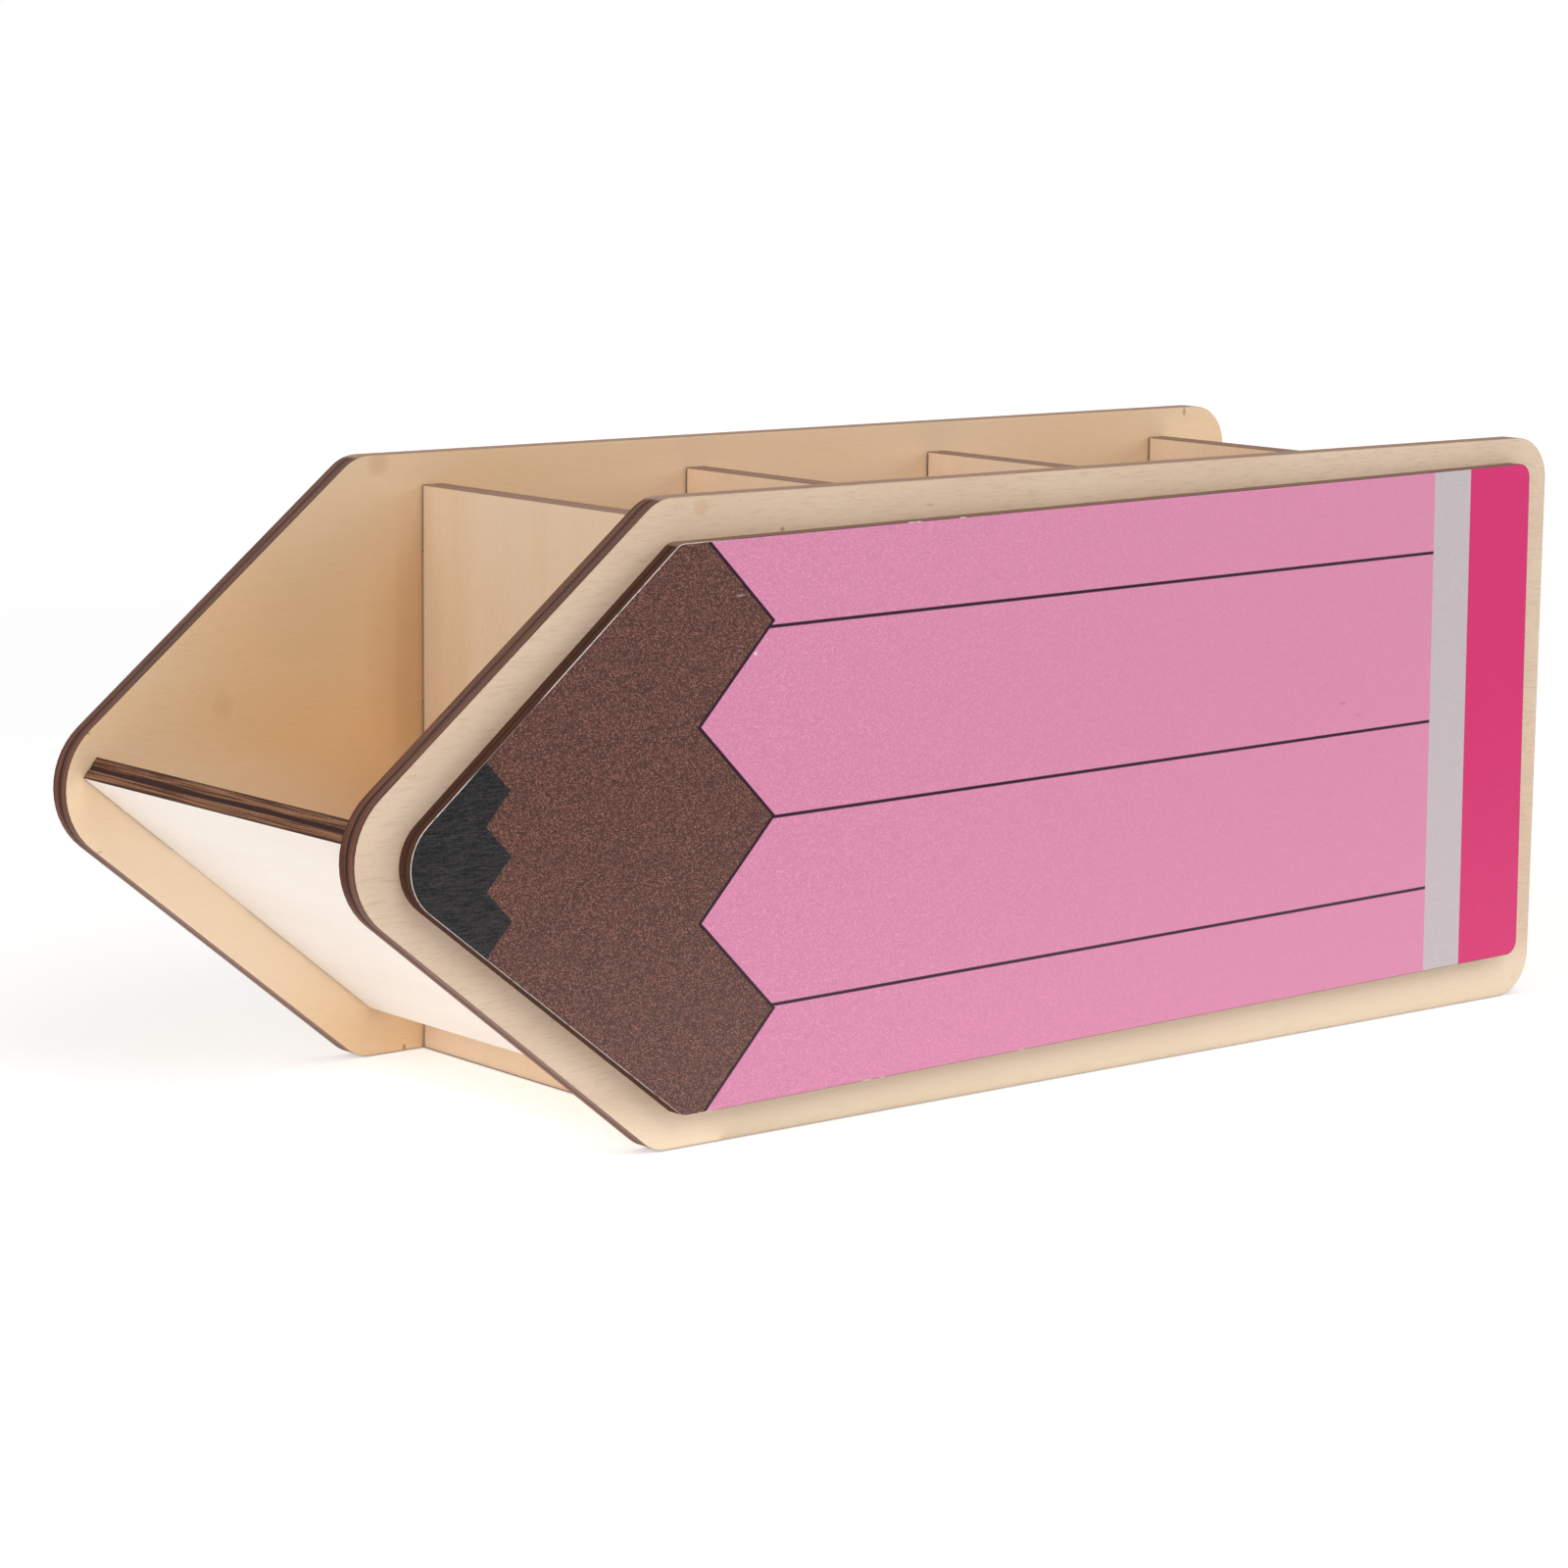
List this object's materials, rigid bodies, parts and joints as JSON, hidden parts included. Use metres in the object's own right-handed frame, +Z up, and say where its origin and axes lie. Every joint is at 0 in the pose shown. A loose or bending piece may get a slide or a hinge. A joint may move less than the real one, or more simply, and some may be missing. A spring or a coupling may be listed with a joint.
{
  "type": "pen holder",
  "caption": "Pencil-shaped plywood desk pen holder: two pencil-outline side panels joined by slotted cross boards into open bays, with a printed pencil face board.",
  "frame": {"origin": "middle of the footprint, on the table", "axes": "+X along the pencil from its tip to its eraser end, +Y from the printed front to the back, +Z up"},
  "size_m": [0.2528, 0.0878, 0.1],
  "materials": {
    "bare_ply": "unvarnished pale three-ply sheet with laser-burnt dark brown edges",
    "printed_ply": "satin colour print of a pencil on plywood, with laser-burnt dark brown edges"
  },
  "bodies": {
    "root": {"front_panel": "bare_ply", "back_panel": "bare_ply", "face_board": "printed_ply", "tip_ramp": "bare_ply", "tip_floor": "bare_ply", "divider_1": "bare_ply", "divider_2": "bare_ply", "divider_3": "bare_ply", "end_wall": "bare_ply", "bay_floor_1": "bare_ply", "bay_floor_2": "bare_ply", "bay_floor_3": "bare_ply"}
  },
  "joints": []
}
